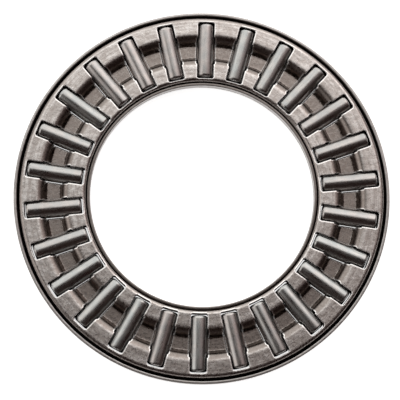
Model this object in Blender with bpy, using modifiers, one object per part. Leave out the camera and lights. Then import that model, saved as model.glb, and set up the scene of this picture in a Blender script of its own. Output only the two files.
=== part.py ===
"""Needle roller thrust bearing: rollers lying like spokes in a cage pressed from two steel rings.

Metres, +Z up. The origin is on the bearing's axis, in the plane that the rollers stand on, and
the first roller lies along +Y. The upper ring of the cage has a W section and the lower one is a
shallow U with an upstanding rim at each edge, which holds the upper one.
"""

import math

import bmesh
import bpy
from mathutils import Matrix, Vector

# Driving dimensions.
BORE_RADIUS = 0.0125
OUTER_RADIUS = 0.0210
ROLLER_RADIUS = 0.0010
ROLLER_LENGTH = 0.00622
ROLLER_COUNT = 26
PITCH_RADIUS = 0.01658

# Upper ring: heights of its top surface, and its W section.
UPPER_SHEET = 0.00020
LAND_TOP = 0.00180
LAND_BEND = 0.00090
VALLEY_TOP = 0.00066
VALLEY_RADIUS = 0.01662
VALLEY_WIDTH = 0.00156
VALLEY_BEND = 0.00020
SLOPE_RUN = 0.00050
OUTER_SHOULDER = 0.00080
INNER_SHOULDER = 0.00055
SHOULDER_BEND = 0.00035
SKIRT_GAP = 0.00007
SKIRT_FOOT = 0.00056

# Lower ring.
LOWER_SHEET = 0.00035
PLATE_BOTTOM = 0.00008
RIM_TOP = 0.00150
RIM_BEND = 0.00028

# Pockets. The upper ones have narrow ends that keep the roller in, and a middle that is clear of
# it, and the lower ones are a little narrower than the roller all along.
POCKET_LENGTH = 0.00652
POCKET_MOUTH = 0.00186
POCKET_WAIST = 0.00210
LOWER_POCKET_WIDTH = 0.00194
WAIST_LENGTH = 0.00304
WAIST_TAPER = 0.00012
POCKET_CORNER = 0.00022

# Fineness.
RING_STEPS = 3 * ROLLER_COUNT
BEND_STEPS = 2
ROLLER_SIDES = 24
ROLLER_CORNER = 0.00030
WELD = 1e-6
SHARP_ANGLE = math.radians(30)


def clear_scene():
    for obj in list(bpy.data.objects):
        bpy.data.objects.remove(obj, do_unlink=True)


def new_collection(name, hidden=False):
    collection = bpy.data.collections.new(name)
    bpy.context.scene.collection.children.link(collection)
    collection.hide_render = hidden
    return collection


def steel(name, colour, roughness):
    """A bare metal."""
    material = bpy.data.materials.new(name)
    material.use_nodes = True
    shader = material.node_tree.nodes["Principled BSDF"]
    shader.inputs["Base Color"].default_value = (*colour, 1)
    shader.inputs["Roughness"].default_value = roughness
    shader.inputs["Metallic"].default_value = 1.0
    return material


def new_object(name, mesh, collection, material=None):
    obj = bpy.data.objects.new(name, mesh)
    collection.objects.link(obj)
    if material and not mesh.materials:
        mesh.materials.append(material)
    return obj


# Outlines in two dimensions.


def bend(before, corner, after, radius, steps):
    """Points along the arc that rounds one corner."""
    to_before = (before - corner).normalized()
    to_after = (after - corner).normalized()
    half_angle = to_before.angle(to_after) / 2
    centre = corner + (to_before + to_after).normalized() * radius / math.sin(half_angle)
    setback = radius / math.tan(half_angle)
    start = corner + to_before * setback - centre
    end = corner + to_after * setback - centre
    first = math.atan2(start.y, start.x)
    sweep = (math.atan2(end.y, end.x) - first + math.pi) % (2 * math.pi) - math.pi
    angles = [first + sweep * step / steps for step in range(steps + 1)]
    return [centre + radius * Vector((math.cos(angle), math.sin(angle))) for angle in angles]


def open_path(corners, radii, steps):
    """A path through the corners, rounded at each one between its ends by its own radius."""
    points = [corners[0]]
    for before, corner, after, radius in zip(corners, corners[1:], corners[2:], radii):
        points += bend(before, corner, after, radius, steps)
    return points + [corners[-1]]


def beside(path, distance):
    """The path moved to its left by a distance, with each run kept parallel."""
    moved = []
    for index, point in enumerate(path):
        runs = [
            (path[end] - path[end - 1]).normalized()
            for end in (index, index + 1)
            if 0 < end < len(path)
        ]
        normals = [Vector((-run.y, run.x)) for run in runs]
        middle = (normals[0] + normals[-1]).normalized()
        moved.append(point + middle * distance / middle.dot(normals[0]))
    return moved


def sheet_section(corners, radii, thickness):
    """The outline of a bent sheet, clockwise, from its middle line's corners run from +X to -X."""
    path = open_path(corners, radii, BEND_STEPS)
    return beside(path, thickness / 2) + beside(path, -thickness / 2)[::-1]


# Rings.


def upper_section():
    """A W: skirt, land, slope, valley, slope, land, skirt, from the outer edge to the inner one."""
    half = UPPER_SHEET / 2
    land = LAND_TOP - half
    valley = VALLEY_TOP - half
    half_valley = VALLEY_WIDTH / 2
    outer_foot = OUTER_RADIUS - LOWER_SHEET - SKIRT_GAP - half
    inner_foot = BORE_RADIUS + LOWER_SHEET + SKIRT_GAP + half
    corners = [
        Vector((outer_foot, SKIRT_FOOT)),
        Vector((OUTER_RADIUS - OUTER_SHOULDER, land)),
        Vector((VALLEY_RADIUS + half_valley + SLOPE_RUN, land)),
        Vector((VALLEY_RADIUS + half_valley, valley)),
        Vector((VALLEY_RADIUS - half_valley, valley)),
        Vector((VALLEY_RADIUS - half_valley - SLOPE_RUN, land)),
        Vector((BORE_RADIUS + INNER_SHOULDER, land)),
        Vector((inner_foot, SKIRT_FOOT)),
    ]
    outer_half = [SHOULDER_BEND, LAND_BEND, VALLEY_BEND]
    return sheet_section(corners, outer_half + outer_half[::-1], UPPER_SHEET)


def lower_section():
    """A U, from the top of the outer rim to the top of the inner one."""
    half = LOWER_SHEET / 2
    plate = PLATE_BOTTOM + half
    corners = [
        Vector((OUTER_RADIUS - half, RIM_TOP)),
        Vector((OUTER_RADIUS - half, plate)),
        Vector((BORE_RADIUS + half, plate)),
        Vector((BORE_RADIUS + half, RIM_TOP)),
    ]
    return sheet_section(corners, [RIM_BEND, RIM_BEND], LOWER_SHEET)


def ring(name, section, collection, material):
    """A section turned about the Z axis."""
    mesh = bpy.data.meshes.new(name)
    points = [(point.x, 0, point.y) for point in section]
    edges = [(index, (index + 1) % len(points)) for index in range(len(points))]
    mesh.from_pydata(points, edges, [])
    obj = new_object(name, mesh, collection, material)
    screw = obj.modifiers.new("turned", "SCREW")
    screw.axis = "Z"
    screw.steps = RING_STEPS
    screw.render_steps = RING_STEPS
    screw.use_merge_vertices = True
    screw.merge_threshold = WELD
    screw.use_smooth_shade = True
    return obj


# Pockets.


def direction(number):
    """Where a pocket and its roller lie: their numbers run clockwise from +Y, seen from above."""
    return math.pi / 2 - number * 2 * math.pi / ROLLER_COUNT


def pocket_outline(mouth, waist):
    """One pocket's outline, anticlockwise, with its length along X and its middle at the origin."""
    end = POCKET_LENGTH / 2
    waist_end = WAIST_LENGTH / 2
    quarter = [
        Vector((end, mouth / 2 - POCKET_CORNER)),
        Vector((end - POCKET_CORNER, mouth / 2)),
    ]
    if waist > mouth:
        quarter.append(Vector((waist_end + WAIST_TAPER, mouth / 2)))
        quarter.append(Vector((waist_end, waist / 2)))
    left = [Vector((-point.x, point.y)) for point in reversed(quarter)]
    half = quarter + left
    return half + [-point for point in half]


def pocket_cutters(name, outline, collection):
    """One prism for each pocket, all in one mesh."""
    shape = bmesh.new()
    for number in range(ROLLER_COUNT):
        turn = Matrix.Rotation(direction(number), 4, "Z")
        bottom = [
            shape.verts.new(turn @ Vector((PITCH_RADIUS + point.x, point.y, -ROLLER_RADIUS)))
            for point in outline
        ]
        face = shape.faces.new(bottom)
        raised = bmesh.ops.extrude_face_region(shape, geom=[face])
        top = [part for part in raised["geom"] if isinstance(part, bmesh.types.BMVert)]
        bmesh.ops.translate(shape, verts=top, vec=(0, 0, 4 * ROLLER_RADIUS))
    bmesh.ops.recalc_face_normals(shape, faces=shape.faces)
    mesh = bpy.data.meshes.new(name)
    shape.to_mesh(mesh)
    shape.free()
    cutters = new_object(name, mesh, collection)
    cutters.hide_render = True
    cutters.display_type = "WIRE"
    return cutters


def cut_pockets(shell, cutters):
    boolean = shell.modifiers.new("pockets", "BOOLEAN")
    boolean.operation = "DIFFERENCE"
    boolean.object = cutters


# Rollers.


def roller_mesh(material):
    """A roller along Z with broken ends, whose flats are as far apart as its diameter."""
    shape = bmesh.new()
    corner_radius = ROLLER_RADIUS / math.cos(math.pi / ROLLER_SIDES)
    bmesh.ops.create_cone(
        shape,
        cap_ends=True,
        segments=ROLLER_SIDES,
        radius1=corner_radius,
        radius2=corner_radius,
        depth=ROLLER_LENGTH,
        matrix=Matrix.Rotation(math.pi / ROLLER_SIDES, 4, "Z"),
    )
    rims = [edge for edge in shape.edges if edge.verts[0].co.z * edge.verts[1].co.z > 0]
    bmesh.ops.bevel(shape, geom=rims, offset=ROLLER_CORNER, segments=1, affect="EDGES")
    mesh = bpy.data.meshes.new("needle_roller")
    shape.to_mesh(mesh)
    shape.free()
    mesh.shade_smooth()
    mesh.set_sharp_from_angle(angle=SHARP_ANGLE)
    mesh.materials.append(material)
    return mesh


def place_roller(number, mesh, collection, centre):
    """A roller with its origin on its own axis, which points away from the bearing's."""
    angle = direction(number)
    roller = new_object(f"needle_roller_{number + 1:02d}", mesh, collection)
    lay_down = Matrix.Rotation(math.pi / 2, 4, "Y")
    outward = Vector((math.cos(angle), math.sin(angle), 0)) * PITCH_RADIUS
    place = Matrix.Translation(outward + Vector((0, 0, ROLLER_RADIUS)))
    roller.parent = centre
    roller.matrix_world = place @ Matrix.Rotation(angle, 4, "Z") @ lay_down
    return roller


def build():
    clear_scene()
    bearing = new_collection("needle_roller_thrust_bearing")
    cutter_store = new_collection("cutters", hidden=True)
    cage_steel = steel("cage_steel", (0.50, 0.46, 0.43), 0.38)
    roller_steel = steel("roller_steel", (0.62, 0.61, 0.60), 0.18)

    centre = bpy.data.objects.new("bearing_axis", None)
    bearing.objects.link(centre)

    upper = ring("cage_upper_shell", upper_section(), bearing, cage_steel)
    lower = ring("cage_lower_shell", lower_section(), bearing, cage_steel)
    upper_outline = pocket_outline(POCKET_MOUTH, POCKET_WAIST)
    lower_outline = pocket_outline(LOWER_POCKET_WIDTH, LOWER_POCKET_WIDTH)
    cut_pockets(upper, pocket_cutters("upper_cutters", upper_outline, cutter_store))
    cut_pockets(lower, pocket_cutters("lower_cutters", lower_outline, cutter_store))
    for shell in (upper, lower):
        shell.parent = centre

    roller = roller_mesh(roller_steel)
    for number in range(ROLLER_COUNT):
        place_roller(number, roller, bearing, centre)


build()
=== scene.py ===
"""Looks of a needle roller thrust bearing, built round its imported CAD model.

Metres, +Z up, in the CAD model's frame: the bearing's axis is Z, the rollers stand on z = 0 and the
first one lies along +Y. Both shells of the cage and every roller are made again here with fine bends,
rounded edges and procedural steels. Each piece rides on its own CAD body.
"""

import math

import bmesh
import bpy
import numpy as np
from mathutils import Matrix, Vector


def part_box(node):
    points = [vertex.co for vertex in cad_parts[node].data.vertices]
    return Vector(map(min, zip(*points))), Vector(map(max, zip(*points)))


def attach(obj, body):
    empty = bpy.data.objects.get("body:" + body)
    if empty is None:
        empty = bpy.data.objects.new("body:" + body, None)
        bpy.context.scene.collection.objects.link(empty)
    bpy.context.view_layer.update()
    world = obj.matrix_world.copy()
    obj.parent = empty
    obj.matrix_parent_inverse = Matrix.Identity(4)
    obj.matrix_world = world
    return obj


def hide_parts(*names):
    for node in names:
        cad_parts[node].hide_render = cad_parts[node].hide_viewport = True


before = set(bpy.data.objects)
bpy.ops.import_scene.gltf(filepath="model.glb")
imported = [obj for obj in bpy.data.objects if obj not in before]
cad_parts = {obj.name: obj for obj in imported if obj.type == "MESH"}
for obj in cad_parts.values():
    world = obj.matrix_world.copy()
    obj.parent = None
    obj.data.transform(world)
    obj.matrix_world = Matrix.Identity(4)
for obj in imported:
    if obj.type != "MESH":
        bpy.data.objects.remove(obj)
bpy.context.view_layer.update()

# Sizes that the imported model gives.
roller_low, roller_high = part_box("needle_roller_01")
upper_low, upper_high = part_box("cage_upper_shell")
lower_low, lower_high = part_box("cage_lower_shell")
ROLLER_COUNT = sum(name.startswith("needle_roller_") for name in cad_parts)
ROLLER_RADIUS = (roller_high.z - roller_low.z) / 2
ROLLER_LENGTH = roller_high.y - roller_low.y
PITCH_RADIUS = (roller_high.y + roller_low.y) / 2
OUTER_RADIUS = lower_high.x
PLATE_BOTTOM = lower_low.z
RIM_TOP = lower_high.z
SKIRT_FOOT = upper_low.z
LAND_TOP = upper_high.z

# The rest of the CAD model's sections.
BORE_RADIUS = 0.0125
UPPER_SHEET = 0.00020
LAND_BEND = 0.00090
VALLEY_TOP = 0.00066
VALLEY_RADIUS = 0.01662
VALLEY_WIDTH = 0.00156
VALLEY_BEND = 0.00020
SLOPE_RUN = 0.00050
OUTER_SHOULDER = 0.00080
INNER_SHOULDER = 0.00055
SHOULDER_BEND = 0.00035
SKIRT_GAP = 0.00007
LOWER_SHEET = 0.00035
RIM_BEND = 0.00028

# Its pockets.
POCKET_LENGTH = 0.00652
POCKET_MOUTH = 0.00186
POCKET_WAIST = 0.00210
LOWER_POCKET_WIDTH = 0.00194
WAIST_LENGTH = 0.00304
WAIST_TAPER = 0.00012
POCKET_CORNER = 0.00022

# Rounded edges and fineness. Each shell stays under 200,000 triangles.
PUNCHED_EDGE = 0.00006
ROLLED_EDGE = 0.00009
WEAR_AND_HIGHLIGHT_WIDTH = 0.00012
ROLLER_CORNER = 0.00036
BEND_STEPS = 6
EDGE_STEPS = 4
CORNER_STEPS = 6
TAPER_STEPS = 5
END_COLUMNS = 4
BAR_COLUMNS = 5
LONGEST_STEP = 0.00022
SHORTEST_STEP = 0.000012
WELD = 1e-7
ROLLER_SIDES = 64
ROLLER_CORNER_STEPS = 10

# Steels: how much light they send back and how rough they are. Burnish is how far rubbed edges are
# polished, and also a painted highlight on them.
UPPER_LEVEL = 0.68
UPPER_ROUGHNESS = 0.29
# The lower shell is the same steel as the upper one, painted darker as shade.
LOWER_SHADED_LEVEL = 0.36
LOWER_ROUGHNESS = 0.33
# Painted shade in the valley: its bottom, its slopes and their steep parts.
BOTTOM_SHADE_LEVEL = 0.28
SLOPE_SHADE_LEVEL = 0.22
STEEP_SHADE_LEVEL = 0.11
# Painted shade on the faces inside the cage, between the two shells.
INSIDE_SHADE_LEVEL = 0.03
# Painted shade on the shoulders.
SHOULDER_SHADE_LEVEL = 0.29
UPPER_BURNISH_AND_HIGHLIGHT = 0.90
LOWER_BURNISH_AND_HIGHLIGHT = 0.25
ROLLER_LEVEL = 0.47

# Soft lights in the sky: azimuth from +Y towards -X and elevation, then the angles from its middle
# at which a light starts to fade and has gone, in degrees, and its colour.
SOFT_LIGHTS = (
    (7.0, 32.0, 40.0, 53.0, (1.36, 1.36, 1.32)),
    (92.0, 33.0, 10.0, 35.0, (1.30, 1.25, 1.20)),
    (-48.0, 48.0, 8.0, 40.0, (0.62, 0.52, 0.50)),
    (180.0, 8.0, 4.0, 26.0, (0.14, 0.13, 0.125)),
)
SKY_COLOUR = (0.024, 0.013, 0.011)

# A pale backdrop, which fades out this far above the horizon.
BACKDROP_COLOUR = (0.80, 0.80, 0.80)
BACKDROP_TOP = math.radians(5)

# The tabletop.
FLOOR_SIZE = 3.0
FLOOR_DROP = 0.00001
FLOOR_GLOW = 0.90
# Under the bearing the glow is weaker: a painted shadow.
SHADED_GLOW = 0.75
SHADE_BLUR = 0.0006
FLOOR_LEVEL = 0.80

# The camera.
CAMERA_DISTANCE = 0.1670
CAMERA_TILT = math.radians(-9.70)
CAMERA_LEAN = math.radians(1.875)
CAMERA_TURN = math.radians(1.387)
CAMERA_AIM = (-0.000209, -0.000337)
CAMERA_LENS = 133.6
CAMERA_SENSOR = 36.0

HALF_SECTOR = math.pi / ROLLER_COUNT
MILLIMETRES = 1000.0

# Where the cage is painted darker: painted shade, and dark patches at the valley's feet. The recess, the
# shoulders and the valley's feet go by distance from the middle of the valley, the steep part of a slope
# by height and the rest by radius.
# A band has four edges: where it starts, is full, starts to fade and ends.
RECESS_SHADE_END = VALLEY_WIDTH / 2 + SLOPE_RUN + 0.00042
SHOULDER_SHADE_START = 0.00342
STEEP_SHADE_FROM, STEEP_SHADE_TO = (0.00162, 0.00138)
INSIDE_SHADE_BAND = (0.0128, 0.0131, 0.0204, 0.0207)
# Painted shade in the gaps between the two shells.
OUTER_GAP_SHADE = [OUTER_RADIUS - inset for inset in (0.00078, 0.00060, 0.00042, 0.00032)]
INNER_GAP_SHADE = [BORE_RADIUS + inset for inset in (0.00004, 0.00013, 0.00042, 0.00058)]
FOOT_BAND = [VALLEY_WIDTH / 2 + past for past in (-0.00020, 0.00002, 0.00006, 0.00026)]


# Sections of the cage's shells.


def arc(before, corner, after, radius, steps):
    """Points along the arc that rounds one corner."""
    to_before = (before - corner).normalized()
    to_after = (after - corner).normalized()
    half_angle = to_before.angle(to_after) / 2
    centre = corner + (to_before + to_after).normalized() * radius / math.sin(half_angle)
    setback = radius / math.tan(half_angle)
    start = corner + to_before * setback - centre
    end = corner + to_after * setback - centre
    first = math.atan2(start.y, start.x)
    sweep = (math.atan2(end.y, end.x) - first + math.pi) % (2 * math.pi) - math.pi
    angles = [first + sweep * step / steps for step in range(steps + 1)]
    return [centre + radius * Vector((math.cos(angle), math.sin(angle))) for angle in angles]


class Section:
    """The middle line of a shell's section, from its outer edge to its inner one."""

    FINE_STEPS = 6 * BEND_STEPS
    UPRIGHT_SHARE = 0.8

    def __init__(self, corners, radii, thickness):
        self.thickness = thickness
        self.points = np.array(self.path(corners, radii, self.FINE_STEPS))
        runs = np.diff(self.points, axis=0)
        self.lengths = np.concatenate([[0.0], np.cumsum(np.hypot(*runs.T))])
        self.total = self.lengths[-1]
        self.run_middles = (self.lengths[1:] + self.lengths[:-1]) / 2
        self.run_angles = np.unwrap(np.arctan2(runs[:, 1], runs[:, 0]))
        self.upright = radii[0] + abs(corners[0].y - corners[1].y)
        bends = self.path(corners, radii, BEND_STEPS)
        self.bend_lengths = [self.nearest(point) for point in bends]

    @staticmethod
    def path(corners, radii, steps):
        points = [corners[0]]
        for before, corner, after, radius in zip(corners, corners[1:], corners[2:], radii):
            points += arc(before, corner, after, radius, steps)
        return points + [corners[-1]]

    def nearest(self, point):
        return self.lengths[np.argmin(np.hypot(*(self.points - point).T))]

    def length_at(self, radius):
        """Where the line is this far from the axis, leaving out most of its two uprights."""
        reach = self.total / 2 - self.UPRIGHT_SHARE * self.upright
        between = np.abs(self.lengths - self.total / 2) < reach
        radii = self.points[between, 0]
        return float(np.interp(-radius, -radii, self.lengths[between]))

    def place(self, length, height):
        """(radius, z) at a length along the line and a height off it."""
        radius = np.interp(length, self.lengths, self.points[:, 0])
        z = np.interp(length, self.lengths, self.points[:, 1])
        angle = np.interp(length, self.run_middles, self.run_angles)
        return radius + height * math.sin(angle), z - height * math.cos(angle)


def upper_section():
    """A W: skirt, land, slope, valley, slope, land, skirt."""
    half = UPPER_SHEET / 2
    land = LAND_TOP - half
    valley = VALLEY_TOP - half
    half_valley = VALLEY_WIDTH / 2
    outer_foot = OUTER_RADIUS - LOWER_SHEET - SKIRT_GAP - half
    inner_foot = BORE_RADIUS + LOWER_SHEET + SKIRT_GAP + half
    corners = [
        Vector((outer_foot, SKIRT_FOOT)),
        Vector((OUTER_RADIUS - OUTER_SHOULDER, land)),
        Vector((VALLEY_RADIUS + half_valley + SLOPE_RUN, land)),
        Vector((VALLEY_RADIUS + half_valley, valley)),
        Vector((VALLEY_RADIUS - half_valley, valley)),
        Vector((VALLEY_RADIUS - half_valley - SLOPE_RUN, land)),
        Vector((BORE_RADIUS + INNER_SHOULDER, land)),
        Vector((inner_foot, SKIRT_FOOT)),
    ]
    outer_half = [SHOULDER_BEND, LAND_BEND, VALLEY_BEND]
    return Section(corners, outer_half + outer_half[::-1], UPPER_SHEET)


def lower_section():
    """A U with upright rims."""
    half = LOWER_SHEET / 2
    plate = PLATE_BOTTOM + half
    corners = [
        Vector((OUTER_RADIUS - half, RIM_TOP)),
        Vector((OUTER_RADIUS - half, plate)),
        Vector((BORE_RADIUS + half, plate)),
        Vector((BORE_RADIUS + half, RIM_TOP)),
    ]
    return Section(corners, [RIM_BEND, RIM_BEND], LOWER_SHEET)


def filled(values):
    """The rising values, with more between any two that are far apart."""
    made = [values[0]]
    for value in values[1:]:
        start = made[-1]
        count = max(1, math.ceil((value - start) / LONGEST_STEP))
        made += [start + (value - start) * step / count for step in range(1, count + 1)]
    return made


def thinned(values):
    """The rising values, without those that nearly repeat the one before."""
    made = [values[0]]
    for value in values[1:]:
        if value - made[-1] > SHORTEST_STEP:
            made.append(value)
    return made


class Pocket:
    """A pocket's outline. x runs outward from its middle and y across it."""

    def __init__(self, mouth, waist):
        self.mouth = mouth
        self.waist = waist
        self.corner_x = POCKET_LENGTH / 2 - POCKET_CORNER
        self.corner_y = mouth / 2 - POCKET_CORNER

    def half_width(self, x):
        share = min(max((abs(x) - WAIST_LENGTH / 2) / WAIST_TAPER, 0.0), 1.0)
        smooth = share * share * (3 - 2 * share)
        return (self.waist + (self.mouth - self.waist) * smooth) / 2

    def outer_end(self):
        """Rows of (x, y, normal x, normal y) along half of the outer end and round its corner."""
        rows = [
            (POCKET_LENGTH / 2, self.corner_y * column / END_COLUMNS, 1.0, 0.0)
            for column in range(END_COLUMNS)
        ]
        for step in range(CORNER_STEPS + 1):
            angle = math.pi / 2 * step / CORNER_STEPS
            across = Vector((math.cos(angle), math.sin(angle)))
            spot = Vector((self.corner_x, self.corner_y)) + across * POCKET_CORNER
            rows.append((spot.x, spot.y, across.x, across.y))
        return rows

    def side(self, section):
        """Rows along the side, one for each bend of the section and each step of the taper."""
        limit = self.corner_x
        crossings = [section.place(length, 0)[0] - PITCH_RADIUS for length in section.bend_lengths]
        tapers = [WAIST_LENGTH / 2 + WAIST_TAPER * step / TAPER_STEPS for step in range(TAPER_STEPS + 1)]
        places = crossings + tapers + [-taper for taper in tapers]
        inside = sorted(x for x in places if abs(x) < limit)
        spread = thinned(filled([-limit] + inside + [limit]))
        return [(x, self.half_width(x), 0.0, 1.0) for x in spread if abs(x) < limit - SHORTEST_STEP]

    def outline(self, section):
        """Half of the outline, from the middle of its outer end to the middle of its inner one."""
        outer = self.outer_end()
        inner = [(-x, y, -normal_x, normal_y) for x, y, normal_x, normal_y in reversed(outer)]
        return outer + self.side(section)[::-1] + inner


# Meshes of the shells: half of one sector, then mirrored and turned to every pocket.


def edge_profile(thickness, radius):
    """(distance in from the edge, height) pairs that round a sheet's edge, top to bottom."""
    angles = [math.pi / 2 * step / EDGE_STEPS for step in range(EDGE_STEPS + 1)]
    top = [
        (radius * (1 - math.sin(angle)), thickness / 2 - radius * (1 - math.cos(angle)))
        for angle in angles
    ]
    return top + [(distance, -height) for distance, height in reversed(top)]


class HalfSector:
    """Half of a sector of a shell, from a pocket's axis, along +X, to the middle of a bar."""

    def __init__(self, section, pocket, edge, inner_side):
        self.section = section
        self.edge = edge
        self.inner_side = inner_side
        self.outline = pocket.outline(section)
        self.opening = range(END_COLUMNS, len(self.outline) - END_COLUMNS)
        self.points = []
        self.wear_and_highlight = []
        self.inside = []
        self.faces = []
        top_rows, top_loop = self.face(section.thickness / 2)
        bottom_rows, bottom_loop = self.face(-section.thickness / 2)
        self.pocket_wall(top_loop, bottom_loop)
        self.free_edge(top_rows[0], bottom_rows[0], 0.0)
        self.free_edge(top_rows[-1], bottom_rows[-1], section.total)

    def vertex(self, length, height, angle, wear_and_highlight):
        """A vertex at a length along the section, a height off its middle line and an angle."""
        radius, z = self.section.place(length, height)
        self.points.append((radius * math.cos(angle), radius * math.sin(angle), z))
        self.wear_and_highlight.append(wear_and_highlight)
        self.inside.append(float(height * self.inner_side > 0))
        return len(self.points) - 1

    def strips(self, loops):
        """Faces between each loop of vertices and the next, matched from their far ends."""
        for first, second in zip(loops, loops[1:]):
            shared = min(len(first), len(second))
            first = first[-shared:]
            second = second[-shared:]
            self.faces += zip(first, first[1:], second[1:], second)

    def bar_angles(self, radius, start):
        """Angles of columns from the pocket's edge to the middle of the bar."""
        worn_and_lit = start + WEAR_AND_HIGHLIGHT_WIDTH / radius
        steps = BAR_COLUMNS - 1
        rest = [worn_and_lit + (HALF_SECTOR - worn_and_lit) * step / steps for step in range(steps + 1)]
        return [start] + rest

    def end_angles(self, start):
        """Angles of columns across the pocket's width, up to its corner."""
        return [start * column / END_COLUMNS for column in range(END_COLUMNS)]

    def whole_rows(self, lengths, start, height, worn_and_lit_row):
        """Rows beyond a pocket's end, which cross the whole half sector."""
        rows = []
        for index, length in enumerate(lengths):
            radius = self.section.place(length, 0)[0]
            angles = self.end_angles(start) + self.bar_angles(radius, start)
            wear_and_highlight = float(index == worn_and_lit_row)
            rows.append([self.vertex(length, height, angle, wear_and_highlight) for angle in angles])
        return rows

    def face(self, height):
        """One side of the sheet: its rows of vertices, and those of them round the pocket."""
        around = {}
        rows = [self.opening_row(index, height, around) for index in self.opening]
        outer, inner = self.lengths_beyond()
        corner_y = self.outline[END_COLUMNS][1]
        outer_start = corner_y / (PITCH_RADIUS + POCKET_LENGTH / 2)
        inner_start = corner_y / (PITCH_RADIUS - POCKET_LENGTH / 2)
        outer_rows = self.whole_rows(outer, outer_start, height, 0)
        inner_rows = self.whole_rows(inner, inner_start, height, len(inner) - 1)
        rows = outer_rows + rows + inner_rows
        self.strips(rows)
        return rows, [around[index] for index in range(len(self.outline))]

    def opening_row(self, index, height, around):
        """A row that starts at one place on the pocket's outline. It adds to the vertices around."""
        x, y, normal_x, normal_y = self.outline[index]
        radius = PITCH_RADIUS + x + normal_x * PUNCHED_EDGE
        length = self.section.length_at(radius)
        start = (y + normal_y * PUNCHED_EDGE) / radius
        across = []
        if index in (self.opening[0], self.opening[-1]):
            across = [self.vertex(length, height, angle, 1.0) for angle in self.end_angles(start)]
            last = len(self.outline) - 1
            at_outer_end = index == self.opening[0]
            for column, vertex in enumerate(across):
                around[column if at_outer_end else last - column] = vertex
        bar = self.bar_angles(radius, start)
        around[index] = self.vertex(length, height, bar[0], 1.0)
        along = [self.vertex(length, height, angle, 0.0) for angle in bar[1:]]
        return across + [around[index]] + along

    def lengths_beyond(self):
        """Lengths of the rows outside the pocket's outer end, and inside its inner one."""
        section = self.section
        reach = POCKET_LENGTH / 2 + PUNCHED_EDGE
        outer_end = section.length_at(PITCH_RADIUS + reach) - WEAR_AND_HIGHLIGHT_WIDTH
        inner_end = section.length_at(PITCH_RADIUS - reach) + WEAR_AND_HIGHLIGHT_WIDTH
        first = self.edge + WEAR_AND_HIGHLIGHT_WIDTH
        last = section.total - first
        before = [length for length in section.bend_lengths if first < length < outer_end]
        after = [length for length in section.bend_lengths if inner_end < length < last]
        before = thinned(filled([first] + before + [outer_end]))
        after = thinned(filled([inner_end] + after + [last]))
        return [self.edge] + before, after + [section.total - self.edge]

    def pocket_wall(self, top, bottom):
        """The rounded edges, rubbed bright and given a painted highlight, and the wall of the pocket
        between them.
        """
        loops = [top]
        for distance, height in edge_profile(self.section.thickness, PUNCHED_EDGE)[1:-1]:
            wear_and_highlight = float(distance > 0.1 * PUNCHED_EDGE)
            loop = []
            for x, y, normal_x, normal_y in self.outline:
                radius = PITCH_RADIUS + x + normal_x * distance
                length = self.section.length_at(radius)
                angle = (y + normal_y * distance) / radius
                loop.append(self.vertex(length, height, angle, wear_and_highlight))
            loops.append(loop)
        self.strips(loops + [bottom])

    def free_edge(self, top, bottom, end):
        """The rounded edge at one end of the section, between the sheet's two sides."""
        angles = [math.atan2(self.points[vertex][1], self.points[vertex][0]) for vertex in top]
        loops = [top]
        for distance, height in edge_profile(self.section.thickness, self.edge)[1:-1]:
            length = abs(end - distance)
            loops.append([self.vertex(length, height, angle, 1.0) for angle in angles])
        self.strips(loops + [bottom])


def direction(number):
    """Where a roller and its pocket lie: their numbers run clockwise from +Y, seen from above."""
    return math.pi / 2 - number * 2 * HALF_SECTOR


def all_round(half):
    """(points, faces, marks) of a whole shell, with open seams, from half of one sector of it."""
    points = np.array(half.points)
    faces = np.array(half.faces)
    sector = np.concatenate([points, points * (1, -1, 1)])
    sector_faces = np.concatenate([faces, faces[:, ::-1] + len(points)])
    turns = [np.array(Matrix.Rotation(direction(n), 3, "Z")) for n in range(ROLLER_COUNT)]
    points = np.concatenate([sector @ turn.T for turn in turns])
    faces = np.concatenate([sector_faces + n * len(sector) for n in range(ROLLER_COUNT)])
    marks = {"wear_and_highlight": half.wear_and_highlight, "inside": half.inside}
    return points, faces, {name: np.tile(marks[name], 2 * ROLLER_COUNT) for name in marks}


def piece_from(shape, name, material):
    """An object from a bmesh, shaded smooth, with its faces turned outward."""
    bmesh.ops.recalc_face_normals(shape, faces=shape.faces)
    mesh = bpy.data.meshes.new(name)
    shape.to_mesh(mesh)
    shape.free()
    mesh.shade_smooth()
    mesh.materials.append(material)
    piece = bpy.data.objects.new(name, mesh)
    bpy.context.scene.collection.objects.link(piece)
    return piece


def make_shell(name, half, material):
    points, faces, marks = all_round(half)
    shape = bmesh.new()
    layers = {mark: shape.verts.layers.float.new(mark) for mark in marks}
    vertices = [shape.verts.new(point) for point in points]
    for mark, values in marks.items():
        for vertex, value in zip(vertices, values):
            vertex[layers[mark]] = value
    for face in faces:
        shape.faces.new([vertices[index] for index in face])
    bmesh.ops.remove_doubles(shape, verts=shape.verts, dist=WELD)
    shell = piece_from(shape, name, material)
    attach(shell, "cage")
    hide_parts(f"cage_{name}")


# Rollers.


def roller_profile():
    """(distance along the axis, radius) pairs, from near the middle of one end to the other's."""
    half = ROLLER_LENGTH / 2
    centre = Vector((half - ROLLER_CORNER, ROLLER_RADIUS - ROLLER_CORNER))
    right = [Vector((0.4 * half, ROLLER_RADIUS))]
    for step in range(ROLLER_CORNER_STEPS + 1):
        angle = math.pi / 2 * step / ROLLER_CORNER_STEPS
        right.append(centre + ROLLER_CORNER * Vector((math.sin(angle), math.cos(angle))))
    right.append(Vector((half, ROLLER_RADIUS / 4)))
    left = [Vector((-point.x, point.y)) for point in reversed(right)]
    return left + right


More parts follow.
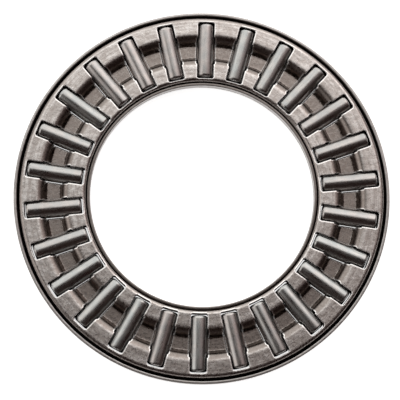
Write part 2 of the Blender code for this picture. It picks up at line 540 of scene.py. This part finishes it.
def roller_shape():
    """A turned roller along X."""
    shape = bmesh.new()
    turns = [2 * math.pi * side / ROLLER_SIDES for side in range(ROLLER_SIDES)]
    rings = []
    for along, radius in roller_profile():
        spots = [(along, radius * math.cos(turn), radius * math.sin(turn)) for turn in turns]
        rings.append([shape.verts.new(spot) for spot in spots])
    for first, second in zip(rings, rings[1:]):
        for side in range(ROLLER_SIDES):
            shape.faces.new((first[side - 1], first[side], second[side], second[side - 1]))
    for ring in (rings[0], rings[-1]):
        middle = shape.verts.new((ring[0].co.x, 0, 0))
        for side in range(ROLLER_SIDES):
            shape.faces.new((ring[side - 1], ring[side], middle))
    return shape


def make_rollers(material):
    for number in range(ROLLER_COUNT):
        body = f"roller_{number + 1:02d}"
        angle = direction(number)
        roller = piece_from(roller_shape(), f"polished_{body}", material)
        outward = Vector((math.cos(angle), math.sin(angle), 0)) * PITCH_RADIUS
        place = Matrix.Translation(outward + Vector((0, 0, ROLLER_RADIUS)))
        roller.matrix_world = place @ Matrix.Rotation(angle, 4, "Z")
        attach(roller, body)
        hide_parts(f"needle_{body}")


# Materials.


class Nodes:
    """A node tree, with a method for each kind of step that the materials share."""

    def __init__(self, tree):
        self.tree = tree

    def feed(self, node, inputs):
        for name, value in inputs.items():
            if isinstance(value, bpy.types.NodeSocket):
                self.tree.links.new(value, node.inputs[name])
            else:
                node.inputs[name].default_value = value

    def new(self, kind, inputs, **settings):
        node = self.tree.nodes.new(kind)
        for name, value in settings.items():
            setattr(node, name, value)
        self.feed(node, inputs)
        return node

    def math(self, operation, *values):
        return self.new("ShaderNodeMath", dict(enumerate(values)), operation=operation).outputs[0]

    def product(self, *values):
        made = values[0]
        for value in values[1:]:
            made = self.math("MULTIPLY", made, value)
        return made

    def vector(self, x, y, z):
        return self.new("ShaderNodeCombineXYZ", {"X": x, "Y": y, "Z": z}).outputs[0]

    def parts(self, vector):
        return self.new("ShaderNodeSeparateXYZ", {0: vector}).outputs[:3]

    def noise(self, place, scale, detail=2.0, roughness=0.5, distortion=0.0):
        """Noise from 0 to 1, about 0.5, whose scale is in waves per millimetre."""
        inputs = {
            "Vector": place,
            "Scale": scale,
            "Detail": detail,
            "Roughness": roughness,
            "Distortion": distortion,
        }
        return self.new("ShaderNodeTexNoise", inputs).outputs["Fac"]

    def mark(self, name):
        """A number that the mesh carries at each vertex."""
        return self.new("ShaderNodeAttribute", {}, attribute_name=name).outputs["Fac"]

    def remap(self, value, low, high, to_low=0.0, to_high=1.0):
        """The value carried smoothly from low..high to to_low..to_high, and held at both ends."""
        inputs = {"Value": value, 1: low, 2: high, 3: to_low, 4: to_high}
        return self.new("ShaderNodeMapRange", inputs, interpolation_type="SMOOTHSTEP").outputs[0]

    def mix(self, share, first, second, blend="MIX"):
        """A colour between two others."""
        inputs = {0: share, 6: first, 7: second}
        return self.new("ShaderNodeMix", inputs, data_type="RGBA", blend_type=blend).outputs[2]

    def bump(self, heights):
        """A normal from (height, distance) pairs."""
        inputs = {}
        for height, distance in heights:
            inputs.update({"Height": height, "Distance": distance})
            inputs["Normal"] = self.new("ShaderNodeBump", inputs).outputs[0]
        return inputs["Normal"]


def new_material(name):
    """(material, its nodes, the place on the object in millimetres)."""
    material = bpy.data.materials.new(name)
    material.use_nodes = True
    nodes = Nodes(material.node_tree)
    place = nodes.new("ShaderNodeTexCoord", {}).outputs["Object"]
    inputs = {0: place, 3: MILLIMETRES}
    scaled = nodes.new("ShaderNodeVectorMath", inputs, operation="SCALE").outputs[0]
    return material, nodes, scaled


def finish_metal(material, nodes, tint, roughness, normal):
    shader = material.node_tree.nodes["Principled BSDF"]
    inputs = {"Base Color": tint, "Roughness": roughness, "Normal": normal, "Metallic": 1.0}
    nodes.feed(shader, inputs)
    return material


def grey(level, warmth=0.0):
    """A grey as linear RGBA, warmed towards brown."""
    return (level * (1 + warmth), level, level * (1 - warmth / 2), 1.0)


def far_from_axis(nodes, place):
    x, y, _ = nodes.parts(place)
    return nodes.math("SQRT", nodes.math("ADD", nodes.product(x, x), nodes.product(y, y)))


def band(nodes, value, edges):
    """1 between the middle two of four rising edges and 0 outside the others."""
    start, full, fading, end = (edge * MILLIMETRES for edge in edges)
    return nodes.product(nodes.remap(value, start, full), nodes.remap(value, end, fading))


def paint_hollow_shade(nodes, place, blotches, tint):
    """The tint with painted shade, darker on the shoulders and darker and browner in the recess, and
    with dark patches at its feet.
    """
    radius = far_from_axis(nodes, place)
    off = nodes.math("ABSOLUTE", nodes.math("SUBTRACT", radius, VALLEY_RADIUS * MILLIMETRES))
    # Painted shade on the shoulders.
    shoulder_start = SHOULDER_SHADE_START * MILLIMETRES
    shoulder = nodes.remap(off, shoulder_start - 0.12, shoulder_start + 0.12)
    tint = nodes.mix(shoulder, tint, grey(SHOULDER_SHADE_LEVEL, 0.12))

    # Painted shade in the recess: darker and browner on the slopes, darkest on their steep parts.
    recess_end = RECESS_SHADE_END * MILLIMETRES
    recess = nodes.remap(off, recess_end + 0.16, recess_end - 0.16)
    slope = nodes.mix(blotches, grey(SLOPE_SHADE_LEVEL * 1.2, 0.10), grey(SLOPE_SHADE_LEVEL * 0.8, 0.22))
    z = nodes.parts(place)[2]
    steep = nodes.remap(z, STEEP_SHADE_FROM * MILLIMETRES, STEEP_SHADE_TO * MILLIMETRES)
    slope = nodes.mix(steep, slope, grey(STEEP_SHADE_LEVEL, 0.25))
    tint = nodes.mix(nodes.product(recess, 0.95), tint, slope)

    # Painted shade on the valley's bottom, darker and browner.
    uneven = nodes.math("ADD", off, nodes.remap(blotches, 0.25, 0.75, -0.12, 0.12))
    edge = VALLEY_WIDTH / 2 * MILLIMETRES
    bottom = nodes.mix(blotches, grey(BOTTOM_SHADE_LEVEL * 1.2, 0.08), grey(BOTTOM_SHADE_LEVEL * 0.75, 0.24))
    tint = nodes.mix(nodes.remap(uneven, edge + 0.04, edge - 0.10), tint, bottom)
    # Dark patches along the valley's feet, where its slopes meet its bottom.
    patches = nodes.remap(nodes.noise(place, 2.6, 3.0, 0.6), 0.40, 0.62, 0.0, 0.85)
    dark_patches = nodes.product(band(nodes, uneven, FOOT_BAND), patches)
    return nodes.mix(dark_patches, tint, grey(0.012, 0.3))


def gap_shade(nodes, place):
    """How far a place is into the gap between the two shells, at either edge of the cage, where painted
    shade goes.
    """
    radius = far_from_axis(nodes, place)
    outer = band(nodes, radius, OUTER_GAP_SHADE)
    inner = band(nodes, radius, INNER_GAP_SHADE)
    top = RIM_TOP * MILLIMETRES
    below = nodes.remap(nodes.parts(place)[2], top + 0.20, top - 0.05)
    return nodes.product(nodes.math("ADD", outer, inner), below, 0.7)


def turned_lines(nodes, place):
    """Fine rings round the axis, each of uneven strength along its way."""
    x, y, z = nodes.parts(place)
    around = nodes.product(nodes.math("ARCTAN2", y, x), 1.4)
    ring = nodes.vector(far_from_axis(nodes, place), around, z)
    return nodes.noise(ring, 4.2, 4.0, 0.65)


def strip_tint(nodes, level, lines, mottle):
    """The tint of bare strip: mottled, with darker turned lines."""
    cloudy = nodes.remap(mottle, 0.34, 0.66)
    tint = nodes.mix(cloudy, grey(level * 0.78, 0.09), grey(level * 1.15, 0.04))
    return nodes.mix(nodes.remap(lines, 0.38, 0.62, 0.0, 0.62), tint, grey(level * 0.52, 0.12))


def pressed_steel(name, level, roughness, burnish_and_highlight, hollow_shade):
    """Cold-rolled strip after pressing: turned lines, grain, mottling, pits and burnished edges."""
    material, nodes, place = new_material(name)
    lines = turned_lines(nodes, place)
    grain = nodes.noise(place, 12.0, 4.0, 0.7)
    mottle = nodes.noise(place, 1.7, 4.0, 0.65)
    blotches = nodes.noise(place, 4.0, 3.0, 0.6, 0.4)
    pits = nodes.remap(nodes.noise(place, 7.5, 2.0, 0.6), 0.37, 0.30)

    tint = strip_tint(nodes, level, lines, mottle)
    # Edges rubbed by use, brightened further as a painted highlight.
    worn_and_lit = nodes.remap(nodes.mark("wear_and_highlight"), 0.1, 0.6, 0.0, burnish_and_highlight)
    if hollow_shade:
        tint = paint_hollow_shade(nodes, place, blotches, tint)
        # Painted shade: these bright edges are dimmer low in the recess.
        worn_and_lit = nodes.product(worn_and_lit, nodes.remap(nodes.parts(place)[2], 1.25, 1.55, 0.5, 1.0))
    tint = nodes.mix(nodes.product(pits, 0.5), tint, grey(0.05, 0.2))
    tint = nodes.mix(worn_and_lit, tint, grey(0.96, 0.02))
    # Painted shade in the gaps between the two shells.
    tint = nodes.mix(gap_shade(nodes, place), tint, grey(0.06, 0.4))
    # Painted shade on the faces inside the cage, between the two shells.
    inside_shade = nodes.product(nodes.mark("inside"), band(nodes, far_from_axis(nodes, place), INSIDE_SHADE_BAND))
    tint = nodes.mix(inside_shade, tint, grey(INSIDE_SHADE_LEVEL, 0.3))

    uneven = nodes.remap(blotches, 0.3, 0.7, roughness - 0.05, roughness + 0.07)
    normal = nodes.bump([(lines, 5.0e-6), (grain, 2.4e-6), (mottle, 1.5e-5)])
    return finish_metal(material, nodes, tint, uneven, normal)


def polished_steel(name):
    """Ground and polished rollers: faint streaks along each one, and a tint of its own."""
    material, nodes, place = new_material(name)
    seed = nodes.new("ShaderNodeObjectInfo", {}).outputs["Random"]
    shift = nodes.vector(nodes.product(seed, 91.0), 0.0, 0.0)
    own = nodes.new("ShaderNodeVectorMath", {0: place, 1: shift}, operation="ADD").outputs[0]
    x, y, z = nodes.parts(own)
    streaks = nodes.noise(nodes.vector(nodes.product(x, 0.16), y, z), 5.5, 3.0, 0.6)
    squeezed = nodes.vector(nodes.product(x, 9.0), nodes.product(y, 0.5), z)
    ground = nodes.noise(squeezed, 3.0, 3.0, 0.6)
    clouds = nodes.noise(own, 1.1, 3.0, 0.6)
    pits = nodes.remap(nodes.noise(own, 9.0, 2.0, 0.5), 0.33, 0.27)

    cool = grey(ROLLER_LEVEL * 0.95, -0.01)
    warm = grey(ROLLER_LEVEL * 1.05, 0.05)
    tint = nodes.mix(nodes.remap(clouds, 0.3, 0.7), cool, warm)
    own_tint = nodes.mix(seed, (0.96, 1, 1, 1), (1, 0.96, 0.95, 1))
    tint = nodes.mix(1.0, tint, own_tint, "MULTIPLY")
    tint = nodes.mix(nodes.remap(streaks, 0.35, 0.7, 0.0, 0.35), tint, grey(ROLLER_LEVEL * 0.7, 0.02))
    tint = nodes.mix(nodes.product(pits, 0.6), tint, grey(0.09, 0.1))
    roughness = nodes.remap(streaks, 0.3, 0.7, 0.24, 0.33)
    normal = nodes.bump([(streaks, 2.0e-6), (ground, 6.0e-7)])
    return finish_metal(material, nodes, tint, roughness, normal)


# The stage.


def floor_glow(nodes, place):
    """The light table's own light, which is weaker under the bearing: a painted shadow."""
    radius = far_from_axis(nodes, place)
    inner = BORE_RADIUS * MILLIMETRES
    outer = OUTER_RADIUS * MILLIMETRES
    blur = SHADE_BLUR * MILLIMETRES
    under = nodes.product(
        nodes.remap(radius, inner, inner + blur),
        nodes.remap(radius, outer, outer - blur),
    )
    return nodes.math("SUBTRACT", FLOOR_GLOW, nodes.product(under, FLOOR_GLOW - SHADED_GLOW))


def make_floor():
    """A pale tabletop, lit from below as a light table is."""
    material, nodes, place = new_material("pale_tabletop")
    fibres = nodes.noise(place, 0.4, 3.0)
    shader = material.node_tree.nodes["Principled BSDF"]
    inputs = {
        "Base Color": nodes.mix(fibres, grey(FLOOR_LEVEL * 0.99), grey(FLOOR_LEVEL)),
        "Roughness": 0.9,
        "Specular IOR Level": 0.0,
        "Emission Color": (1, 1, 1, 1),
        "Emission Strength": floor_glow(nodes, place),
    }
    nodes.feed(shader, inputs)
    shape = bmesh.new()
    bmesh.ops.create_grid(shape, x_segments=8, y_segments=8, size=FLOOR_SIZE / 2)
    floor = piece_from(shape, "tabletop", material)
    floor.location.z = -FLOOR_DROP


def light_way(azimuth, elevation):
    """A unit vector towards an azimuth from +Y towards -X and an elevation, both in degrees."""
    turn = math.radians(azimuth)
    rise = math.radians(elevation)
    level = math.cos(rise)
    return (-math.sin(turn) * level, math.cos(turn) * level, math.sin(rise))


def make_sky():
    """A dark studio with a pale backdrop low down, and soft lights."""
    world = bpy.data.worlds.new("studio")
    bpy.context.scene.world = world
    world.use_nodes = True
    nodes = Nodes(world.node_tree)
    way = nodes.new("ShaderNodeTexCoord", {}).outputs["Generated"]
    low = nodes.remap(nodes.parts(way)[2], math.sin(BACKDROP_TOP), 0.0)
    inputs = {0: low, 1: BACKDROP_COLOUR, 2: SKY_COLOUR}
    total = nodes.new("ShaderNodeVectorMath", inputs, operation="MULTIPLY_ADD").outputs[0]
    for azimuth, elevation, fade, gone, colour in SOFT_LIGHTS:
        inputs = {0: way, 1: light_way(azimuth, elevation)}
        near = nodes.new("ShaderNodeVectorMath", inputs, operation="DOT_PRODUCT").outputs[1]
        angle = nodes.math("ARCCOSINE", near)
        share = nodes.remap(angle, math.radians(gone), math.radians(fade))
        inputs = {0: share, 1: colour, 2: total}
        total = nodes.new("ShaderNodeVectorMath", inputs, operation="MULTIPLY_ADD").outputs[0]
    nodes.feed(world.node_tree.nodes["Background"], {"Color": total})


def make_camera():
    """A long lens above the bearing, a little south of its axis."""
    data = bpy.data.cameras.new("camera")
    data.lens = CAMERA_LENS
    data.sensor_width = CAMERA_SENSOR
    data.clip_start = CAMERA_DISTANCE / 20
    data.clip_end = CAMERA_DISTANCE * 20
    camera = bpy.data.objects.new("camera", data)
    bpy.context.scene.collection.objects.link(camera)
    tilt = Matrix.Rotation(CAMERA_TILT, 4, "X") @ Matrix.Rotation(CAMERA_LEAN, 4, "Y")
    turned = Matrix.Rotation(CAMERA_TURN, 4, "Z")
    aim = Matrix.Translation((*CAMERA_AIM, CAMERA_DISTANCE))
    camera.matrix_world = turned @ tilt.inverted() @ aim
    bpy.context.scene.camera = camera


def build():
    upper_steel = pressed_steel(
        "upper_shell_steel", UPPER_LEVEL, UPPER_ROUGHNESS, UPPER_BURNISH_AND_HIGHLIGHT, hollow_shade=True
    )
    # The lower shell: the same steel as the upper, painted darker as shade.
    shaded_lower_steel = pressed_steel(
        "lower_shell_steel", LOWER_SHADED_LEVEL, LOWER_ROUGHNESS, LOWER_BURNISH_AND_HIGHLIGHT, hollow_shade=False
    )
    upper_pocket = Pocket(POCKET_MOUTH, POCKET_WAIST)
    lower_pocket = Pocket(LOWER_POCKET_WIDTH, LOWER_POCKET_WIDTH)
    upper_half = HalfSector(upper_section(), upper_pocket, PUNCHED_EDGE, inner_side=-1)
    lower_half = HalfSector(lower_section(), lower_pocket, ROLLED_EDGE, inner_side=1)
    make_shell("upper_shell", upper_half, upper_steel)
    make_shell("lower_shell", lower_half, shaded_lower_steel)
    make_rollers(polished_steel("roller_steel"))
    make_floor()
    make_sky()
    make_camera()
    bpy.context.scene.view_settings.view_transform = "Standard"


build()
